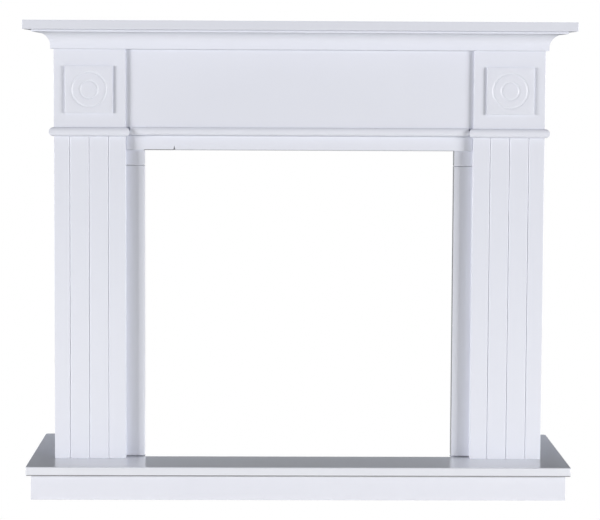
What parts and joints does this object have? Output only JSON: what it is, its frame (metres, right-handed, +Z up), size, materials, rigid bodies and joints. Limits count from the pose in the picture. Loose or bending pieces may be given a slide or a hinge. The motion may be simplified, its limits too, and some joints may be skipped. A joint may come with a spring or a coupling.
{
  "type": "fireplace mantelpiece",
  "caption": "Painted fireplace surround with a mantel shelf, cove crown, corner blocks with rosette plates, fluted pilasters, an open centre and a low notched hearth.",
  "frame": {"origin": "centre of the bounding box in plan, on the floor under the plinth", "axes": "+X to the right along the shelf, +Z up, the front faces -Y and the back stands on the wall plane at +Y"},
  "size_m": [1.1, 0.3, 0.956],
  "materials": {
    "painted_board": "satin white paint on board"
  },
  "bodies": {
    "root": {"mantel_shelf": "painted_board", "crown_front": "painted_board", "crown_return_left": "painted_board", "crown_return_right": "painted_board", "frieze_board": "painted_board", "lintel_board": "painted_board", "header_board": "painted_board", "header_side_left": "painted_board", "header_side_right": "painted_board", "corner_block_left": "painted_board", "corner_block_right": "painted_board", "rosette_plate_left": "painted_board", "rosette_plate_right": "painted_board", "bead_left": "painted_board", "bead_right": "painted_board", "bead_return_left": "painted_board", "bead_return_right": "painted_board", "bead_centre": "painted_board", "pilaster_left": "painted_board", "pilaster_right": "painted_board", "leg_board_left": "painted_board", "leg_board_right": "painted_board", "leg_side_left": "painted_board", "leg_side_right": "painted_board", "hearth_slab": "painted_board", "plinth_front": "painted_board", "plinth_side_left": "painted_board", "plinth_side_right": "painted_board", "plinth_rail": "painted_board"}
  },
  "joints": []
}
